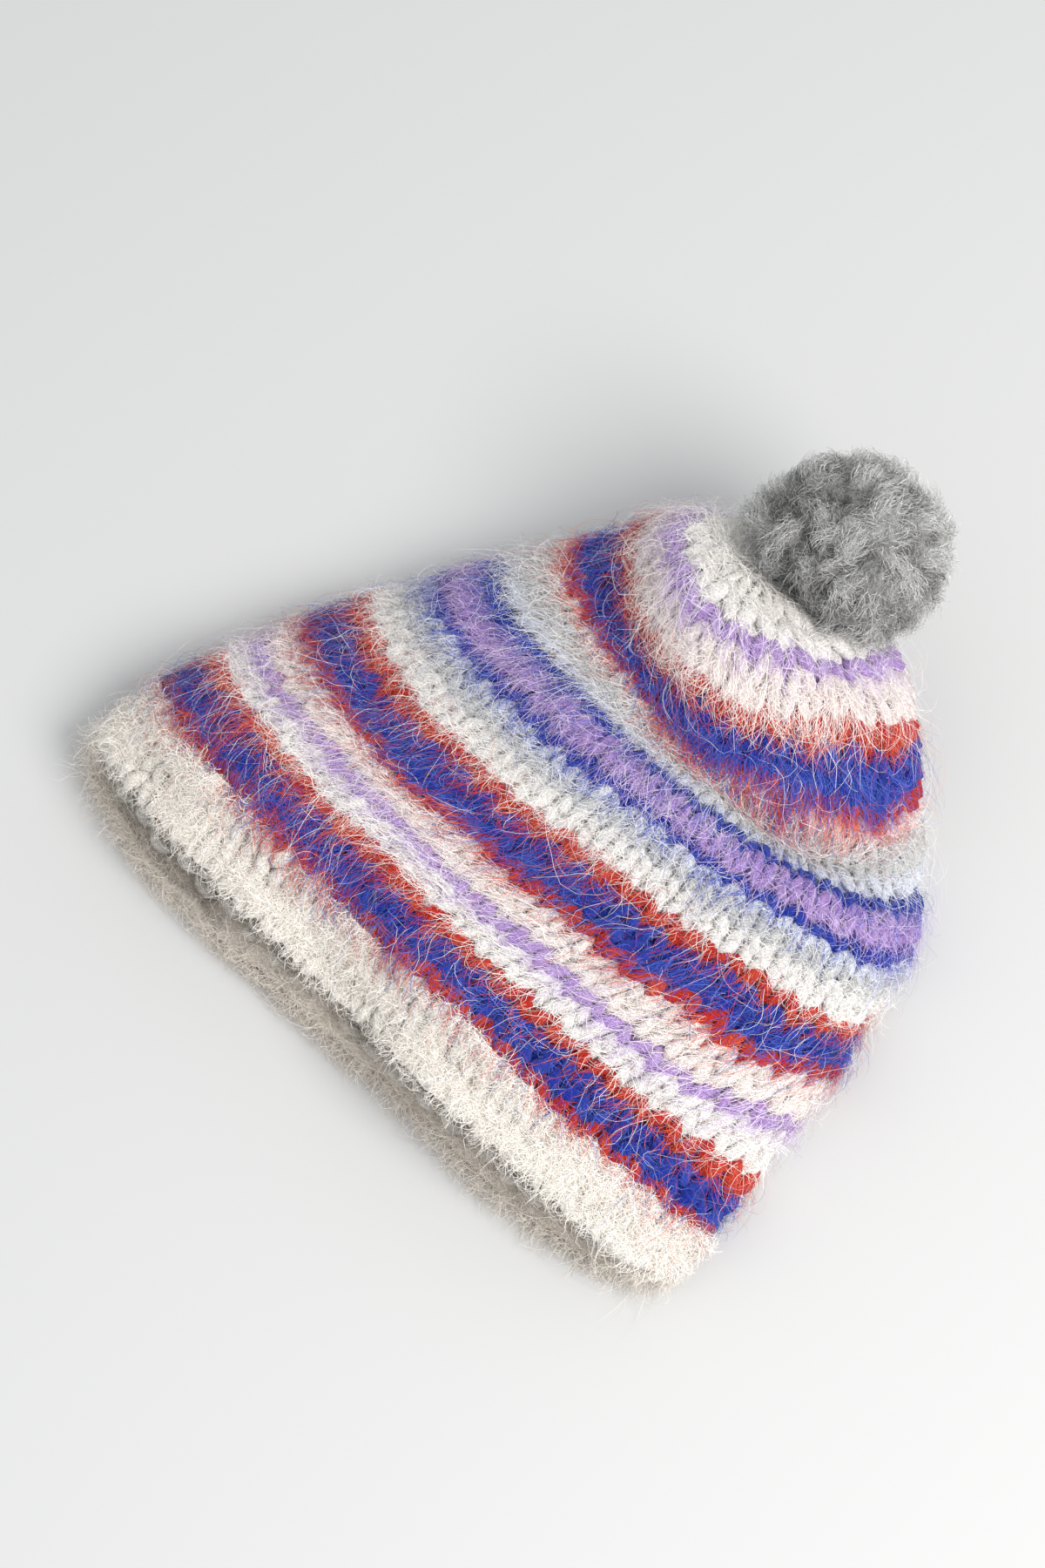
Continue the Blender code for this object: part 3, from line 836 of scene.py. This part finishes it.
def leg_roots(name, places, chance):
    """Roots on the stitches' legs: rows, wales, heights and yarns."""
    kind = dict(zip(ROOT_COLUMNS, LEG_ROOTS[name]))
    rows, wales, widths = (np.repeat(values, 2 * kind["each"]) for values in places)
    pitch = stitch_pitch(rows, wales, widths)
    density = np.clip(pitch / FULL_PITCH, LEAST_KEPT, 1) * shagginess(rows, wales) ** kind["thinning"]
    keep = chance.random(len(rows)) < density
    rows, wales, widths, pitch = rows[keep], wales[keep], widths[keep], pitch[keep]
    count = len(rows)
    along, across, height, plump = leg_course(chance.uniform(kind["from_share"], kind["to_share"], count))
    lean = np.where(chance.random(count) < 0.5, -1.0, 1.0)
    offset = chance.uniform(-ROOT_SPREAD, ROOT_SPREAD, count)
    slender = np.minimum(pitch / FULL_PITCH, 1)
    first = rows + ROW_SHIFTS[rows.astype(int)]
    root_rows = first + (along - offset * plump * ROOT_ALONG) * stitch_rows(rows)
    root_wales = wales + widths * (0.5 + lean * (across + offset * plump * LEG_WIDTH * ROOT_ACROSS))
    heights = (height + plump * LEG_THICKNESS * np.sqrt(1 - offset**2) * ROOT_UP) * slender
    return root_rows, root_wales, heights, row_yarn(rows)


# A grid of headings that change slowly over the knit, so that neighbouring fibres lie together
DRIFT = layered_noise(seeded("drift"), SKIN.shape[:2], DRIFT_NOISE)[..., None]


def is_fringed(row):
    """Whether a row's strong colour meets another one on its edge side."""
    own, below = ROW_YARNS[row], ROW_YARNS[row - 1]
    return own != below and YARN_NAMES[own] in ("red", "blue", "lilac")


# How each kind of fibre grows: of how many points, how long (the shortest, and the scale and the shape
# of what chance adds), how it heads, by the drift that neighbours share and by itself, how it bends and
# swings, in radians, between which heights it arches, through how much of its arch it goes, how wide it
# is, and what share of it is undyed
HABIT_COLUMNS = (
    "points", "shortest", "longer", "shape", "drift", "heading", "bend", "swing",
    "low", "high", "least_landing", "most_landing", "thin", "thick", "undyed",
)
HABITS = {
    "fuzz_short": (4, 0.0015, 0.0013, 2.5, 1.5, 0.9, 1.7, 0.5,
                   0.0006, 0.0024, 0.5, 1.0, 0.00013, 0.00022, 0.0),
    "fuzz_combed": (5, 0.0030, 0.0028, 2.5, 0.9, 0.45, 1.3, 0.6,
                    0.0010, 0.0038, 0.5, 1.0, 0.00011, 0.00020, 0.0),
    "fuzz_fringe": (5, 0.0032, 0.0018, 2.5, 0.5, 0.28, 0.7, 0.4,
                    0.0006, 0.0024, 0.8, 1.0, 0.00013, 0.00022, 0.0),
    "fuzz_long": (10, 0.0070, 0.0044, 2.5, 0.8, 0.7, 2.3, 0.9,
                  0.0015, 0.0060, 0.5, 1.0, 0.00007, 0.00012, 0.2),
    "fuzz_veils": (7, 0.0080, 0.0028, 2.5, 0.4, 0.2, 0.8, 0.5,
                   0.0010, 0.0040, 0.6, 1.0, 0.00009, 0.00016, 0.0),
    "fuzz_strays": (8, 0.0100, 0.0050, 2.5, 0.0, 1.0, 1.2, 0.5,
                    0.0020, 0.0090, 0.3, 0.6, 0.00006, 0.00011, 0.0),
    "fuzz_under": (4, 0.0020, 0.0015, 3.0, 0.0, 0.7, 1.2, 0.6,
                   0.0003, 0.0020, 0.5, 1.0, 0.00012, 0.00020, 0.0),
    "band_fuzz": (5, 0.0020, 0.0016, 2.5, 0.0, 1.2, 1.8, 0.8,
                  0.0006, 0.0032, 0.4, 0.9, 0.00013, 0.00021, 0.0),
}
# Where long hairs hang down over the knit like a veil: how many, from and to which row and wale
VEILS = (
    (1100, 28.9, 31.6, 1.0, 13.0),
    (600, 32.6, 34.8, 3.0, 18.0),
    (500, 13.0, 17.0, 10.0, 23.0),
    (500, 4.5, 8.0, 10.0, 23.0),
)
VEIL_HEIGHT = 0.001
# Strays: how many, what share of them stands at the left fold, how many wales they scatter over at
# either fold, and their roots' height
STRAYS = 3000
LEFT_STRAYS = 0.6
STRAY_WALES = 1.6
STRAY_HEIGHT = 0.0008
# From this row on the under side shows from behind, and before it only some of its fuzz is made
UNDER_SHOWS_ROW = 20
HIDDEN_KEPT = 0.3


def wander(habit, drift, stretch, chance):
    """How fibres run: their paths, how high they rise and through how much of their arch they go.
    stretch is how much longer and higher than usual they are."""
    count = len(drift)
    length = stretch * (habit["shortest"] + chance.gamma(habit["shape"], habit["longer"], count))
    heading = habit["drift"] * drift + chance.normal(0, habit["heading"], count)
    bend = chance.normal(0, habit["bend"], count)
    swing = chance.uniform(0, habit["swing"], count)
    paths = curled_paths(length, heading, bend, swing, habit["points"], chance)
    rise = stretch * chance.uniform(habit["low"], habit["high"], count)
    return paths, rise, chance.uniform(habit["least_landing"], habit["most_landing"], count)


def grow_fuzz(name, rows, wales, base, yarn, chance):
    """One kind of fuzz on the knit, from its roots' rows, wales, heights and yarns."""
    habit = dict(zip(HABIT_COLUMNS, HABITS[name]))
    paths, rise, landing = wander(habit, grid_at(DRIFT, rows, wales)[..., 0], 1.0, chance)
    lines, normals = knit_fibres(rows, wales, base, paths, rise, landing)
    if habit["undyed"]:
        yarn = np.where(chance.random(len(rows)) < habit["undyed"], YARN_NAMES.index("white"), yarn)
    width = chance.uniform(habit["thin"], habit["thick"], len(rows))
    make_fibres(name, lines, normals, width, yarn, chance)


def make_crown_fuzz():
    """Mohair over the stripes: short curls on the stitches, fibres combed down the wales, fringes where
    a strong colour ends, long hairs that wander, veils that hang over the knit, strays that stand off
    the outline, and thinner fuzz on the under side."""
    chance = seeded("crown_fuzz")
    places = stitch_places(BRIM_ROWS, ROWS - 1, -1, UPPER_WALES + 1)
    fringed = np.array([is_fringed(int(row)) for row in places[0]])
    for name in ("fuzz_short", "fuzz_combed", "fuzz_fringe", "fuzz_long"):
        chosen = [column[fringed] for column in places] if name == "fuzz_fringe" else places
        grow_fuzz(name, *leg_roots(name, chosen, chance), chance)

    rows = np.concatenate([chance.uniform(low, high, count) for count, low, high, _, _ in VEILS])
    wales = np.concatenate([chance.uniform(low, high, count) for count, _, _, low, high in VEILS])
    grow_fuzz("fuzz_veils", rows, wales, np.full(len(rows), VEIL_HEIGHT), row_yarn(rows), chance)

    rows = chance.uniform(1, ROWS - 2, STRAYS)
    at_left = chance.random(STRAYS) < LEFT_STRAYS
    left_wales = chance.normal(UPPER_WALES, STRAY_WALES, STRAYS)
    wales = np.where(at_left, left_wales, chance.normal(0, STRAY_WALES, STRAYS))
    grow_fuzz("fuzz_strays", rows, wales, np.full(STRAYS, STRAY_HEIGHT), row_yarn(rows), chance)

    places = stitch_places(BRIM_ROWS, ROWS - 1, UPPER_WALES + 1, WALES - 1)
    roots = leg_roots("fuzz_under", places, chance)
    keep = chance.random(len(roots[0])) < np.where(roots[0] > UNDER_SHOWS_ROW, 1.0, HIDDEN_KEPT)
    grow_fuzz("fuzz_under", *(values[keep] for values in roots), chance)


# Where the band's fluff grows: how many fibres, from and to which share of its skin, from and to which
# wale, how far above the skin they start, and how much longer or shorter they are
BAND_FLUFF = (
    (12500, 0.00, 0.52, -1.0, 24.0, 0.0011, 0.95),
    (4600, 0.42, 0.60, 23.0, 46.0, 0.0, 1.5),
    (1800, 0.60, 0.80, 23.0, 46.0, 0.0, 1.5),
    (700, 0.00, 1.00, 0.0, 46.0, 0.0, 1.0),
)
BAND_ROOT_SPREAD = 0.0006


def make_band_fuzz():
    """Fluff all round the edge band, thickest on its upper layer and lip."""
    chance = seeded("band_fuzz")
    points, normals, toward_lip = band_grid()
    fluff = [
        (
            chance.uniform(from_share, to_share, count),
            chance.uniform(from_wale, to_wale, count),
            np.full(count, start),
            np.full(count, stretch),
        )
        for count, from_share, to_share, from_wale, to_wale, start, stretch in BAND_FLUFF
    ]
    place, wale, start, stretch = (np.concatenate(values) for values in zip(*fluff))
    count = len(place)
    i = (place * (BAND_LOOPS - 1)).astype(int)
    j = np.floor(wale * BAND_WALE_STEPS).astype(int) % points.shape[1]
    root, normal, toward = points[i, j], unit(normals[i, j]), toward_lip[i, j]
    root = root + toward * chance.normal(0, BAND_ROOT_SPREAD, (count, 1)) + normal * start[:, None]
    around = np.cross(toward, normal)
    habit = dict(zip(HABIT_COLUMNS, HABITS["band_fuzz"]))
    (along, across), rise, landing = wander(habit, np.zeros(count), stretch, chance)
    share = np.linspace(0, 1, habit["points"])[None, :]
    height = rise[:, None] * np.sin(math.pi * share * landing[:, None])
    lines = (
        root[:, None] + toward[:, None] * along[..., None] + around[:, None] * across[..., None]
        + normal[:, None] * height[..., None]
    )
    width = chance.uniform(habit["thin"], habit["thick"], count)
    yarn = band_yarn(wale % WALES - 0.5)
    make_fibres("band_fuzz", kept_near(lines), normal, width, yarn, chance)


# The purl bumps inside the edge band: how long they are in wales, and where in a row their middle lies
# and how far their ends bend away from it
PURL_ROWS_DEEP = 7
PURL_LENGTH = 0.46
PURL_WIDTH = 0.0021
PURL_HEIGHT = 0.0019
PURL_RISE = 0.0012
PURL_PLACE = 0.55
PURL_BEND = 0.16
PURL_UNEVEN_ROWS = 0.08
PURL_UNEVEN_WALES = 0.05
PURL_LEAST_ARCH = 0.03
PURL_LUMPS = 0.08
PURL_RINGS = 5
PURL_SIDES = 6


def make_purls():
    """Plump cross bumps on the inner face, a half wale apart from one row to the next."""
    chance = seeded("band_purls")
    rows, wales, _ = stitch_places(0, PURL_ROWS_DEEP, 0, WALES)
    count = len(rows)
    share = np.linspace(-1, 1, PURL_RINGS)[None, :]
    arch = np.sqrt(np.maximum(1 - share**2, PURL_LEAST_ARCH))
    path_rows = rows[:, None] + PURL_PLACE + PURL_BEND * share**2
    path_rows = path_rows + chance.normal(0, PURL_UNEVEN_ROWS, (count, 1))
    path_wales = wales[:, None] + 0.5 * (rows[:, None] % 2) + share * PURL_LENGTH
    path_wales = path_wales + chance.normal(0, PURL_UNEVEN_WALES, (count, 1))
    away = unit(grid_at(INWARD, path_rows, path_wales))
    depth = BAND_WALL + PURL_RISE * arch - PURL_RISE
    centre = grid_at(SKIN, path_rows, path_wales) + away * depth[..., None]
    tangent = unit(np.gradient(centre, axis=1))
    sideways = unit(np.cross(tangent, away))
    outward = np.cross(sideways, tangent)
    lumps = arch[..., None] * (1 + PURL_LUMPS * chance.normal(0, 1, (count, PURL_RINGS, PURL_SIDES)))
    bumps = tube_rings(centre, sideways, outward, PURL_WIDTH * lumps, PURL_HEIGHT * lumps, PURL_SIDES)
    bumps[..., 2] = np.maximum(bumps[..., 2], 0)
    faces = tube_faces(count, PURL_RINGS, PURL_SIDES)
    yarn = np.where(rows < BRIM_ROWS, YARN_NAMES.index("ivory"), row_yarn(rows))
    numbers = np.repeat(yarn, (PURL_RINGS - 1) * PURL_SIDES)
    make_piece("band_purls", bumps, faces, numbers, YARN_MATERIALS)


# The pompom
POMPOM_RADIUS = 0.0300
POMPOM_SEAT = 0.023
POMPOM_LEAN = (0.68, 0.66, 0.33)
CORE_SINK = 0.0012
CORE_SUBDIVISIONS = 6
# Its swirled locks: how many, how unevenly they stand, how long each is beside its width, how domed,
# how far they reach and how much chance turns the way that they lie
LOCKS = 250
LOCK_UNEVEN = 0.07
LOCK_STRETCH = 0.6
LOCK_DOME = 4.4
LOCK_REACH = (0.92, 1.05)
SWIRL_TURN = 3.4
SWIRL_START = (0.3, 1.9, 4.0)
SWIRL_CHANCE = 0.8
# Its pile: how many fibres, how unevenly they stand, bend over and face, how tall and how bent they are
# beside the usual course, how they curl, and how wide they are
PILE = 17500
PILE_UNEVEN = 0.01
PILE_BEND_CHANCE = 0.45
PILE_FACING = 0.4
PILE_HEIGHT = (0.6, 1.4)
PILE_BEND = (0.5, 1.3)
PILE_CURL = 0.00035
PILE_WIDTH = (0.00014, 0.00024)
# The course of a fibre of the pile: how far out and how far over
PILE_COURSE = ((-0.0010, 0.0), (0.0006, 0.0006), (0.0015, 0.0018), (0.0019, 0.0033), (0.0014, 0.0048))
# The yarn of each tone, and the reaches of a lock at which one tone changes to the next. The tones are
# painted shade and light: the lower a lock stands, the darker its yarn
POMPOM_YARNS = ("ash_painted_shade", "ash", "ash_painted_light")
TONE_BOUNDS = (0.965, 1.005)
TONE_CHANCE = 0.02
# Painted shade on the pile: the shares of the radius between which it fades out, and how dark it is at the
# lower one
SHADE_FROM = 0.84
SHADE_TO = 1.03
DEEP_SHADE = 0.52
# Where the ball bulges or is held back: a way from its middle, by what share of the radius, and how
# wide the bulge spreads
BULGES = (
    ((-0.89, -0.40, 0.22), 0.20, 0.035),
    ((0.69, 0.73, 0.00), 0.06, 0.60),
    ((-0.04, -0.93, -0.35), -0.28, 0.30),
)


def bulged(ways):
    """The ball's reach along each way, as a share of its radius."""
    share = np.ones(len(ways))
    for way, reach, spread in BULGES:
        apart = 1 - (ways * unit(np.array(way))).sum(axis=1)
        share += reach * np.exp(-apart / spread)
    return share


def ball_ways(count):
    """Even directions over a ball."""
    golden = math.pi * (3 - math.sqrt(5))
    k = np.arange(count)
    height = 1 - (2 * k + 1) / count
    ring = np.sqrt(1 - height**2)
    return np.stack([ring * np.cos(golden * k), ring * np.sin(golden * k), height], axis=1)


def tuft_material(name, centre):
    """Grey yarn ends, with painted shade that darkens them toward the ball's middle, between the tufts, and
    fades out at their tips.
    """
    material = wool_material(
        f"pompom_{name}", YARNS[name], spread=1.0, rarity=1.4, roughness=0.7, gloss=0.25, sheen=0.15
    )
    dye = material.node_tree.nodes["Principled BSDF"].inputs["Base Color"].links[0].from_socket
    place = add_node(material, "TexCoord", {})["Object"]
    away = add_node(material, "VectorMath", {0: place, 1: tuple(centre)}, operation="DISTANCE")["Value"]
    # Painted shade: the nearer the ball's middle, the darker the pile
    ends = {"From Min": POMPOM_RADIUS * SHADE_FROM, "From Max": POMPOM_RADIUS * SHADE_TO}
    shade = add_node(material, "MapRange", {"Value": away, **ends, "To Min": DEEP_SHADE})["Result"]
    colours = {"Factor": 1.0, "A": dye, "B": shade}
    shaded = add_node(material, "Mix", colours, data_type="RGBA", blend_type="MULTIPLY")["Result"]
    set_shader(material, {"Base Color": shaded})
    add_relief(material, scale=700.0, height=0.002)
    return material


def make_locks(chance):
    """The swirled locks of cut yarn: the ways they stand, the ways they lie and how far they reach."""
    ways = unit(ball_ways(LOCKS) + chance.normal(0, LOCK_UNEVEN, (LOCKS, 3)))
    flow = unit(np.cross(ways, np.sin(ways[:, [1, 2, 0]] * SWIRL_TURN + np.array(SWIRL_START))))
    flow = square_to(flow + chance.normal(0, SWIRL_CHANCE, (LOCKS, 3)), ways)
    return ways, flow, chance.uniform(*LOCK_REACH, LOCKS)


def pile_height(ways, locks):
    """How far the ball reaches along each way, domed over each lock, and which lock that is."""
    lock_ways, flow, reach = locks
    gap = ways[:, None] - lock_ways[None]
    away = (gap**2).sum(axis=2) - LOCK_STRETCH * (gap * flow[None]).sum(axis=2) ** 2
    nearest = away.argmin(axis=1)
    share = bulged(ways) * (reach[nearest] - LOCK_DOME * away.min(axis=1))
    return POMPOM_RADIUS * share, nearest


def make_core(centre, locks, material):
    core = bpy.data.meshes.new("pompom_core")
    ball = bmesh.new()
    bmesh.ops.create_icosphere(ball, subdivisions=CORE_SUBDIVISIONS, radius=1)
    ways = unit(np.array([vertex.co for vertex in ball.verts]))
    heights, _ = pile_height(ways, locks)
    for vertex, height in zip(ball.verts, heights):
        vertex.co *= height - CORE_SINK
    ball.to_mesh(core)
    ball.free()
    core.transform(Matrix.Translation(Vector(centre)))
    core.shade_smooth()
    core.materials.append(material)
    add_piece("pompom_core", core, ["pompom"])


def make_pompom():
    """Cut yarn: a ball of swirled locks under a dense pile that bends over along them."""
    chance = seeded("pompom")
    centre = SKIN[-1].mean(axis=0) + unit(np.array(POMPOM_LEAN)) * POMPOM_SEAT
    materials = [tuft_material(name, centre) for name in POMPOM_YARNS]
    locks = make_locks(chance)
    make_core(centre, locks, materials[0])
    _, flow, reach = locks
    way = unit(ball_ways(PILE) + chance.normal(0, PILE_UNEVEN, (PILE, 3)))
    height, nearest = pile_height(way, locks)
    bend = square_to(unit(flow[nearest] + chance.normal(0, PILE_BEND_CHANCE, (PILE, 3))), way)
    course = np.array(PILE_COURSE)
    out = height[:, None] + course[:, 0] * chance.uniform(*PILE_HEIGHT, (PILE, 1))
    over = course[:, 1] * chance.uniform(*PILE_BEND, (PILE, 1))
    curl = np.cumsum(chance.normal(0, PILE_CURL, (PILE, len(course), 3)), axis=1)
    lines = centre + way[:, None] * out[..., None] + bend[:, None] * over[..., None] + curl
    facing = unit(way + chance.normal(0, PILE_FACING, way.shape))
    strips = strands(kept_near(lines), chance.uniform(*PILE_WIDTH, PILE), facing)
    # Painted shade and light: locks that stand lower take the darker ash, higher ones the paler
    tone = np.digitize(reach[nearest] + chance.normal(0, TONE_CHANCE, PILE), TONE_BOUNDS)
    faces = strand_faces(PILE, len(course))
    numbers = strand_numbers(tone, len(course))
    make_piece("pompom_tufts", strips, faces, numbers, materials, smooth=False)


def make_hat():
    upper = (-1, UPPER_WALES + 1, LEG_RINGS, LEG_SIDES)
    under = (UPPER_WALES + 1, WALES - 1, UNDER_RINGS, UNDER_SIDES)
    make_crown_body()
    make_stitches("crown_stitches", BRIM_ROWS, ROWS, *upper, "striped_wool")
    make_stitches("crown_stitches_under", BRIM_ROWS, ROWS, *under, "striped_wool")
    make_band()
    make_stitches("band_stitches", 0, BRIM_ROWS, *upper, "ivory_wool")
    make_purls()
    make_crown_fuzz()
    make_band_fuzz()
    make_pompom()


# The studio
FLOOR_SIZE = 6.0
FLOOR_DROP = 0.0005
FLOOR_COLOUR = (0.59, 0.592, 0.59)
KEY_WAY = (0.76, 0.00, 0.80)
KEY_DISTANCE = 1.8
KEY_SIZE = 1.0
KEY_WATTS = 34.0
KEY_COLOUR = (1.0, 0.985, 0.965)
SKY_COLOUR = (0.96, 0.98, 1.0)
SKY_STRENGTH = 0.73


def make_floor():
    half = FLOOR_SIZE / 2
    mesh = bpy.data.meshes.new("floor")
    corners = [(-half, -half, 0), (half, -half, 0), (half, half, 0), (-half, half, 0)]
    mesh.from_pydata(corners, [], [(0, 1, 2, 3)])
    paper = {"Base Color": (*FLOOR_COLOUR, 1), "Roughness": 0.9, "Specular IOR Level": 0.1}
    mesh.materials.append(plain_material("floor_paper", paper))
    floor = add_object("floor", mesh)
    floor.location = (0, 0, -FLOOR_DROP)


def make_lights():
    lamp = bpy.data.lights.new("key", "AREA")
    lamp.shape = "DISK"
    lamp.size = KEY_SIZE
    lamp.energy = KEY_WATTS
    lamp.color = KEY_COLOUR
    key = add_object("key", lamp)
    way = Vector(KEY_WAY).normalized()
    key.location = way * KEY_DISTANCE
    key.rotation_euler = way.to_track_quat("Z", "Y").to_euler()
    world = bpy.data.worlds.new("studio")
    world.use_nodes = True
    sky = world.node_tree.nodes["Background"]
    sky.inputs["Color"].default_value = (*SKY_COLOUR, 1)
    sky.inputs["Strength"].default_value = SKY_STRENGTH
    bpy.context.scene.world = world


def make_camera():
    azimuth = math.radians(CAMERA_AZIMUTH)
    elevation = math.radians(CAMERA_ELEVATION)
    back = Vector((
        math.sin(azimuth) * math.cos(elevation),
        -math.cos(azimuth) * math.cos(elevation),
        math.sin(elevation),
    ))
    right = Vector((math.cos(azimuth), math.sin(azimuth), 0))
    up = back.cross(right)
    lens = bpy.data.cameras.new("camera")
    lens.sensor_fit = "VERTICAL"
    lens.sensor_height = SENSOR_HEIGHT
    lens.lens = FOCAL_PIXELS / IMAGE_HEIGHT * SENSOR_HEIGHT
    lens.clip_end = CLIP_END
    camera = add_object("camera", lens)
    middle = Vector(CAMERA_TARGET) + Vector(SHIFT)
    middle += right * CAMERA_RIGHT_OF_TARGET + up * CAMERA_ABOVE_TARGET
    turn = Matrix((right, up, back)).transposed().to_4x4()
    camera.matrix_world = Matrix.Translation(middle + back * CAMERA_DISTANCE) @ turn
    bpy.context.scene.camera = camera
    bpy.context.scene.view_settings.view_transform = "Standard"


make_camera()
make_floor()
make_lights()
make_hat()
